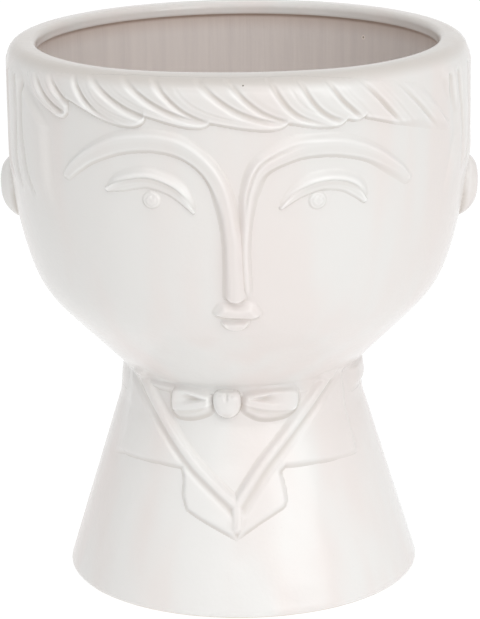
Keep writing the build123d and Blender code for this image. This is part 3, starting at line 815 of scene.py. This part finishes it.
def fringe_height(angle, x, z):
    """Locks that grow out of the lip and bend over to the right, parted by narrow grooves."""
    around = math.radians(1.0) * RIM_RADIUS
    to_right = ease((angle - 26.0) / 10.0)
    length = LOCK_LENGTH + RIGHT_EXTRA * to_right
    down = np.clip((RIM_Z - 1.5 - z) / length, 0.0, 1.25)
    curl = 0.4 * (1 - to_right)
    bend = (1 - curl) * down + curl * down ** 5
    steep = (1 - curl + 5 * curl * down ** 4) / length
    edge = fringe_edge(angle)
    cut = np.zeros(angle.shape)
    for n, (first, sweep) in enumerate(FRINGE_GROOVES):
        away = (angle - first - sweep * bend) * around / np.hypot(1.0, around * sweep * steep)
        bright = ease(1 + away / BRIGHT_WALL)
        dark = 0.62 * ease(1 - away / DARK_WALL) + 0.38 * ease(1 - away / DARK_BACK)
        cut = np.maximum(cut, np.where(away < 0, bright, dark))
        middle = away - HAIR_LINE * (1.0 + 0.3 * math.sin(2.3 * n))
        cut = np.maximum(cut, 0.2 * ease(1 - np.abs(middle) / 0.8) * ease(down / 0.25))
    cut = cut * (0.35 + 0.65 * ease((z - edge) / 3.5))
    ends = [first + sweep * bend for first, sweep in (FRINGE_GROOVES[0], FRINGE_GROOVES[-1])]
    within = ease((angle - ends[0]) * around / DARK_WALL) * ease((ends[1] - angle) * around / DARK_BACK)
    low = ease((z - edge + 0.7) / (1.8 + 4.0 * ease((angle - 38.0) / 16.0)))
    top = RIM_Z - 0.5 - np.where(angle < 0, 5.0, 12.0) * (angle / 60.0) ** 2
    high = 1 - (1 - np.clip((top + 1.0 - z) / LIP_FADE, 0.0, 1.0)) ** 1.6
    fade = 1 - 0.4 * ease((angle - 34.0) / 18.0)
    return LOCK_HEIGHT * (1 - 0.9 * cut) * within * low * high * fade


def make_fringe():
    piece = pressed_piece("hair_fringe", HEAD, (-66, 68), (170, 197.7), fringe_height, 0.36, WHITE)
    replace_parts(piece, "hair_fringe")


# Side hair: front edge on each side, and the grooves behind it, as z and angle
SIDE_FRONT = {
    -1: ((194.0, 66.0), (190.0, 62.0), (184.0, 56.5), (180.0, 52.5), (176.0, 49.6), (154.0, 48.4), (140.0, 45.5)),
    1: ((194.0, 58.0), (190.0, 58.0), (184.0, 61.0), (177.0, 65.0), (168.0, 66.0), (158.0, 61.5), (140.0, 58.5)),
}
SIDE_BACK = {-1: (85.0, 14.0), 1: (91.0, 9.0)}
SIDE_GROOVES = {
    -1: (
        ((193.0, 63.0), (180.0, 63.4), (169.0, 63.1), (156.0, 60.6), (146.5, 57.5)),
        ((193.0, 67.6), (179.0, 66.8), (162.4, 67.4), (148.0, 65.0)),
        ((193.0, 73.0), (166.0, 74.1), (151.0, 71.0)),
        ((193.0, 79.5), (168.0, 80.5), (152.0, 77.0)),
    ),
    1: (
        ((193.0, 62.6), (176.5, 65.5), (168.6, 64.7), (159.0, 62.6), (146.8, 58.8)),
        ((193.0, 67.5), (169.0, 72.0), (152.5, 71.0)),
        ((193.0, 76.5), (168.0, 78.7), (152.0, 73.8)),
        ((193.0, 83.0), (168.0, 83.5), (150.0, 80.0)),
    ),
}
SIDE_HEIGHT = {-1: 1.7, 1: 1.3}
SIDE_TOP, SIDE_FOOT = 195.0, 141.0
GROOVE_HALF = 2.6


def side_hair_height(side):
    """Low pad of hair in front of the ear, parted into upright strands that run out towards the cheek."""
    def height(angle, x, z):
        around = math.radians(1.0) * RIM_RADIUS
        turn = angle * side
        front = np.array(SIDE_FRONT[side])[::-1]
        last, fade = SIDE_BACK[side]
        pad = ease((turn - np.interp(z, front[:, 0], front[:, 1])) / 5.0) * ease((last - turn) / fade)
        pad = pad * ease((SIDE_TOP - z) / 5.0) * ease((z - SIDE_FOOT) / 22.0)
        cut = np.zeros(angle.shape)
        for rows in SIDE_GROOVES[side]:
            line = smooth_path(rows, 24)[::-1]
            away = np.abs(turn - np.interp(z, line[:, 0], line[:, 1])) * around
            ends = ease((z - rows[-1][0] + 1.0) / 9.0) * ease((rows[0][0] - z) / 5.0)
            cut = np.maximum(cut, ease(1 - away / GROOVE_HALF) * ends)
        return SIDE_HEIGHT[side] * pad * (1 - 0.95 * cut)
    return height


def make_side_hair():
    for name, side in (("left_side_hair", -1), ("right_side_hair", 1)):
        angles = sorted((side * 45.0, side * 93.0))
        piece = pressed_piece(name, HEAD, angles, (140, 196), side_hair_height(side), 0.45, WHITE)
        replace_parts(piece, name)


BACK_FIRST, BACK_LAST, BACK_STRANDS = 91.0, 269.0, 18
OVER_EAR = 158.0              # tips of the strands over the ears
BACK_HEIGHT = 1.7


def strand(share, height, z, top, tip):
    """One upright strand: rounded across, soft at the top, pointed at the tip."""
    round_off = np.clip(4 * share * (1 - share), 0, 1) ** 0.8
    point = tip + 10.0 * np.abs(2 * share - 1) ** 2.2
    return height * round_off * ease((z - point) / 5.0) * ease((top - z) / 6.0)


def back_hair_height(angle, x, z):
    """Upright strands down to the nape, slightly waved."""
    wave = 1.2 * np.sin(z / 16.0)
    place = (angle + wave - BACK_FIRST) / (BACK_LAST - BACK_FIRST) * BACK_STRANDS
    number = np.floor(place)
    on = (number >= 0) & (number < BACK_STRANDS)
    share = place - number
    tip = 121.0 + 4.0 * np.abs(np.sin(1.7 * number))
    tip = np.where((number == 0) | (number == BACK_STRANDS - 1), OVER_EAR, tip)
    fine = 0.1 * ease(1 - np.abs(share - 0.4) / 0.06)
    return np.where(on, strand(share, BACK_HEIGHT, z, 195.0, tip) * (1 - fine), 0.0)


def make_back_hair():
    piece = pressed_piece("back_hair", HEAD, (89, 271), (116, 196), back_hair_height, 0.7, WHITE)
    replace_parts(piece, "back_hair")


# Coat and shirt
CLOTH_HEIGHT = 1.3
CLOTH_SLOPE = 2.2
RIBBON_HALF = 3.2             # raised ribbon along the coat's opening
RIBBON_HEIGHT = 1.9
RIBBON_GROOVE = 2.9           # from the ribbon's middle to the groove beside it
GROOVE_WIDTH = 2.2
RIBBON_TOP = {-1: 83.6, 1: 82.2}
LAPEL_TIP = (-1.2, 27.0)
TIP_RIDGE = [(-1.1, 39.0), (-1.0, 35.0), (-1.2, 31.2)]
# Ribbon's line from the neck to the tip, and the outer edge of each lapel from the tip to the side
LEFT_RIBBON = [(-36.6, 83.4), (-34.5, 79.4), (-26.3, 65.5), (-17.8, 54.2), (-11.4, 47.7), (-1.1, 38.4)]
RIGHT_RIBBON = [(33.0, 82.2), (28.6, 76.8), (17.8, 63.5), (7.6, 51.6), (-0.6, 39.4)]
LEFT_LAPEL = [
    (-14.0, 33.4), (-19.0, 36.2), (-20.4, 40.8), (-20.1, 47.4), (-20.8, 50.2), (-28.9, 50.4), (-41.9, 49.7), (-48.5, 47.0),
]
RIGHT_LAPEL = [
    (7.5, 32.6), (15.9, 37.2), (16.7, 39.4), (16.1, 43.6), (14.6, 49.4), (16.2, 50.8), (26.6, 50.5), (38.9, 49.8),
    (46.0, 49.4),
]
LAPEL_FADE = {-1: (72.0, 18.0), 1: (59.0, 4.0)}   # angle where the cloth ends, and the reach of its slope


def make_lapels():
    lapels = (("left_lapel", -1, LEFT_RIBBON, LEFT_LAPEL), ("right_lapel", 1, RIGHT_RIBBON, RIGHT_LAPEL))
    for name, side, ribbon, outer in lapels:
        outline = ribbon + [LAPEL_TIP] + outer + [(side * 56.0, 60.0), (side * 52.0, 79.7)]
        line = smooth_path(ribbon, 40)
        ridge = smooth_path(TIP_RIDGE, 10)
        last, reach = LAPEL_FADE[side]

        def height(angle, x, z):
            depth = inside(outline, x, z)
            thinner = 1 - 0.5 * ease((angle - 34.0) / 20.0)
            cloth = CLOTH_HEIGHT * ease((depth + 0.5) / CLOTH_SLOPE) * thinner
            along = beside(line, x, z)[1]
            beyond = np.abs(along - RIBBON_GROOVE) / GROOVE_WIDTH
            cloth = cloth * (1 - 0.52 * ease(1 - beyond) * (depth > 0))
            raised = RIBBON_HEIGHT * ease((RIBBON_HALF - along) / 3.0)
            middle = RIBBON_HEIGHT * ease((RIBBON_HALF - beside(ridge, x, z)[1]) / 2.8)
            fade = ease((last - np.abs(angle)) / reach) * ease((RIBBON_TOP[side] - z) / 2.4)
            return np.maximum(np.maximum(cloth, raised), middle) * fade
        angles = sorted((side * 74.0, -side * 6.0))
        piece = pressed_piece(name, COAT, angles, (24, 84), height, 0.45, WHITE)
        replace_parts(piece, name)


COLLAR_HEIGHT = 0.8
COAT_COLLAR = {-1: 0.15, 1: 1.4}     # the coat's collar shows at the viewer's right only


def make_collars():
    def shirt(angle, x, z):
        depth = inside(LEFT_RIBBON[1:3] + RIGHT_RIBBON[2:0:-1], x, z)
        return COLLAR_HEIGHT * ease(depth / 1.6) * ease((z - 75.5) / 1.8)

    def coat(angle, x, z):
        to_right = ease((200.0 - angle) / 60.0)
        relief = COAT_COLLAR[-1] + (COAT_COLLAR[1] - COAT_COLLAR[-1]) * to_right
        ends = ease((angle - 60.0) / 12.0) * ease((300.0 - angle) / 12.0)
        return relief * ends * ease((z - 69.5) / 4.0) * ease((80.3 - z) / 2.5)

    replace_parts(pressed_piece("shirt_collar", COAT, (-58, 58), (69, 79.8), shirt, 0.45, WHITE), "shirt_collar")
    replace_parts(pressed_piece("coat_collar", COAT, (58, 302), (66, 79.9), coat, 0.6, WHITE), "coat_collar")


# Bow tie: outline of each wing, the hollow of its loop (pointing to the knot) and the crease over its lower lobe
LEFT_WING = dict(
    outline=[
        (-24.2, 79.0), (-17.6, 79.3), (-10.0, 78.0), (-8.6, 76.0), (-8.6, 71.0), (-10.6, 69.0), (-16.5, 66.9),
        (-22.3, 66.7), (-24.6, 69.7),
    ],
    loop=[(-22.5, 78.4), (-11.2, 75.0), (-22.5, 71.8)],
    crease=[(-25.5, 69.4), (-22.2, 69.8), (-16.4, 70.6), (-9.5, 72.6)],
)
RIGHT_WING = dict(
    outline=[
        (2.6, 78.6), (10.9, 79.6), (21.2, 79.2), (21.4, 71.2), (18.0, 67.7), (7.7, 66.8), (2.6, 69.4), (0.6, 71.0),
        (0.6, 76.5),
    ],
    loop=[(18.0, 78.8), (3.6, 75.6), (18.0, 72.0)],
    crease=[(0.8, 73.4), (7.7, 71.4), (13.0, 70.6), (22.5, 70.0)],
)
WING_HEIGHT = 3.2
WING_EDGE = 3.6
LOOP_DEPTH = 1.6
LOBE_DROP = 0.9
KNOT_MIDDLE = (-4.2, 73.6)
KNOT_RADII = (5.0, 5.1)
KNOT_HEIGHT = 4.6


def wing_height(outline, loop, crease):
    """Gathered ribbon: a full upper lobe hollowed towards its end, and a lower one below a crease."""
    rounded = smooth_outline(outline).tolist()
    fold = smooth_path(crease, 24)
    order = np.argsort(fold[:, 0])
    apex = loop[1]

    def height(angle, x, z):
        body = WING_HEIGHT * ease((inside(rounded, x, z) + 0.8) / WING_EDGE)
        away = np.hypot(x - apex[0], z - apex[1])
        hollow = LOOP_DEPTH * ease((inside(loop, x, z) + 0.7) / 2.2) * ease((13.0 - away) / 9.0)
        fold_z = np.interp(x, fold[order, 0], fold[order, 1])
        drop = LOBE_DROP * ease((fold_z - z + 0.3) / 1.2)
        line = 0.6 * ease(1 - np.abs(z - fold_z) / 0.9)
        return np.where(body > 0, np.maximum(body - (hollow + drop + line) * body / WING_HEIGHT, 0.0), 0.0)
    return height


def make_bow_tie():
    def knot(angle, x, z):
        u, v = (x - KNOT_MIDDLE[0]) / KNOT_RADII[0], (z - KNOT_MIDDLE[1]) / KNOT_RADII[1]
        narrow = 1.0 - 0.12 * np.clip(-v, 0, 1)
        power = 2.4 + 1.6 * ease((v + 0.3) / 0.9)
        dome = np.clip(1 - (np.abs(u / narrow) ** power + np.abs(v) ** power), 0, 1) ** 0.5
        pinch = 0.8 * ease(1 - np.abs(u) / 0.18) * ease((v - 0.1) / 0.5)
        return (KNOT_HEIGHT - pinch) * dome

    for name, angles, height in (
        ("bow_tie_left_wing", (-38, -9), wing_height(**LEFT_WING)),
        ("bow_tie_right_wing", (-1, 32), wing_height(**RIGHT_WING)),
        ("bow_tie_knot", (-16, 5), knot),
    ):
        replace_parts(pressed_piece(name, COAT, angles, (64, 79.9), height, 0.22, WHITE), name)


def make_drain_plug():
    """Rubber plug with rounded edges, turned in the space its CAD solid holds."""
    low, high = corner("drain_plug", 0), corner("drain_plug", 1)
    floor_z = NECK_Z + FLOOR_THICKNESS
    flange, stem, grip, knob = high[0], DRAIN_RADIUS - 0.06, 3.2, 4.6
    eye = 0.2
    corners = [
        (eye, low[2]), (stem - 1.0, low[2]), (stem, NECK_Z), (stem, floor_z), (flange, floor_z), (flange, floor_z + 2.5),
        (grip, floor_z + 2.5), (grip, high[2] - 2.6), (knob, high[2] - 2.6), (knob, high[2]), (eye, high[2]),
    ]
    rounds = [0.0, 0.4, 0.0, 0.0, 0.3, 0.8, 0.8, 0.6, 0.6, 0.9, 0.0]
    runs = []
    for n, (point, radius) in enumerate(zip(corners, rounds)):
        before, after = corners[n - 1], corners[(n + 1) % len(corners)]
        runs.append(rounded_corner(before, point, after, radius, 0.15) if radius else np.array([point]))
    section = joined(*runs)
    piece = turned_piece("drain_plug", section, [RUBBER], np.zeros(len(section), int))
    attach(piece, "plug")
    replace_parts(piece, "drain_plug")


# Stage, light and camera
CAMERA_DISTANCE = 1.0         # from the axis, along the table
CAMERA_HEIGHT = 0.3762
CAMERA_TURN = 1.2             # degrees to the right of the face's middle
CAMERA_PITCH = 15.65
CAMERA_ROLL = -0.72
CAMERA_PAN = 0.015            # the little that the axis stands right of the picture's middle
FOCAL_PIXELS = 2828.0
FRAME_HEIGHT = 619
SENSOR = 36.0


def make_camera():
    turn, pitch = math.radians(CAMERA_TURN), math.radians(CAMERA_PITCH)
    data = bpy.data.cameras.new("camera")
    data.sensor_fit = "VERTICAL"
    data.sensor_height = SENSOR
    data.lens = FOCAL_PIXELS * SENSOR / FRAME_HEIGHT
    data.clip_start = 0.01
    camera = bpy.data.objects.new("camera", data)
    place = Vector((CAMERA_DISTANCE * math.sin(turn), -CAMERA_DISTANCE * math.cos(turn), CAMERA_HEIGHT))
    aim = Matrix.Rotation(turn + math.radians(CAMERA_PAN), 4, "Z") @ Matrix.Rotation(math.pi / 2 - pitch, 4, "X")
    camera.matrix_world = Matrix.Translation(place) @ aim @ Matrix.Rotation(math.radians(CAMERA_ROLL), 4, "Z")
    bpy.context.scene.collection.objects.link(camera)
    bpy.context.scene.camera = camera


def make_light(name, place, target, size, power):
    data = bpy.data.lights.new(name, "AREA")
    data.shape = "RECTANGLE"
    data.size, data.size_y = size
    data.energy = power
    light = bpy.data.objects.new(name, data)
    light.location = place
    light.rotation_euler = (Vector(target) - Vector(place)).to_track_quat("-Z", "Y").to_euler()
    bpy.context.scene.collection.objects.link(light)


def seen_directly(tree):
    """1 for rays from the camera and for mirrored or refracted ones."""
    path = tree.nodes.new("ShaderNodeLightPath")
    total = path.outputs["Is Camera Ray"]
    for name in ("Is Glossy Ray", "Is Transmission Ray"):
        larger = tree.nodes.new("ShaderNodeMath")
        larger.operation = "MAXIMUM"
        tree.links.new(total, larger.inputs[0])
        tree.links.new(path.outputs[name], larger.inputs[1])
        total = larger.outputs[0]
    return total


AMBIENT_SIDE = 0.05           # room light level with the table
AMBIENT_TOP = 0.95            # room light from straight above


def make_world():
    """Soft room light; the camera and the gloss see plain white."""
    world = bpy.data.worlds.new("studio")
    bpy.context.scene.world = world
    world.use_nodes = True
    tree = world.node_tree
    background = tree.nodes["Background"]
    strength = tree.nodes.new("ShaderNodeMapRange")
    tree.links.new(seen_directly(tree), strength.inputs["Value"])
    where = tree.nodes.new("ShaderNodeTexCoord")
    axes = tree.nodes.new("ShaderNodeSeparateXYZ")
    tree.links.new(where.outputs["Generated"], axes.inputs[0])
    room = tree.nodes.new("ShaderNodeMapRange")
    tree.links.new(axes.outputs["Z"], room.inputs["Value"])
    room.inputs["To Min"].default_value = AMBIENT_SIDE
    room.inputs["To Max"].default_value = AMBIENT_TOP
    tree.links.new(room.outputs["Result"], strength.inputs["To Min"])
    strength.inputs["To Max"].default_value = 1.0
    background.inputs["Color"].default_value = (1.0, 1.0, 1.0, 1.0)
    tree.links.new(strength.outputs["Result"], background.inputs["Strength"])


FLOOR_GLOW = 0.9              # share of plain white in the floor that the camera sees, so that its shadow stays faint
FLOOR_BOUNCE = 0.95           # the same share for the light that the floor throws back


def make_floor():
    n = Nodes("floor")
    n.shader.inputs["Base Color"].default_value = (0.9, 0.9, 0.9, 1.0)
    n.shader.inputs["Roughness"].default_value = 0.9
    glow = n.add("Emission", {"Color": (1.0, 1.0, 1.0, 1.0), "Strength": 1.08})
    share = n.add("MapRange", {"Value": seen_directly(n.tree), "To Min": FLOOR_BOUNCE, "To Max": FLOOR_GLOW})
    both = n.add("MixShader", {0: share.outputs["Result"], 1: n.shader.outputs[0], 2: glow.outputs[0]})
    n.tree.links.new(both.outputs[0], n.tree.nodes["Material Output"].inputs["Surface"])
    half = 3000.0
    corners = [(-half, -half, 0), (half, -half, 0), (half, half, 0), (-half, half, 0)]
    floor = new_piece("floor", corners, [(0, 1, 2, 3)], [n.material], smooth=False)


make_head_bowl()
make_pedestal()
make_brows()
make_eyelids()
make_pupils()
make_lips()
make_ears()
make_fringe()
make_side_hair()
make_back_hair()
make_lapels()
make_collars()
make_bow_tie()
make_drain_plug()

make_floor()
make_world()
make_camera()
target = (0.0, 0.0, 0.1)
make_light("key", (1.1, -1.3, 0.75), target, (1.1, 1.0), 7.3)
make_light("top", (0.0, -1.05, 1.45), target, (2.4, 0.7), 7.6)
make_light("front", (0.0, -1.6, 0.6), target, (1.4, 0.25), 2.1)
bpy.context.scene.view_settings.view_transform = "Standard"
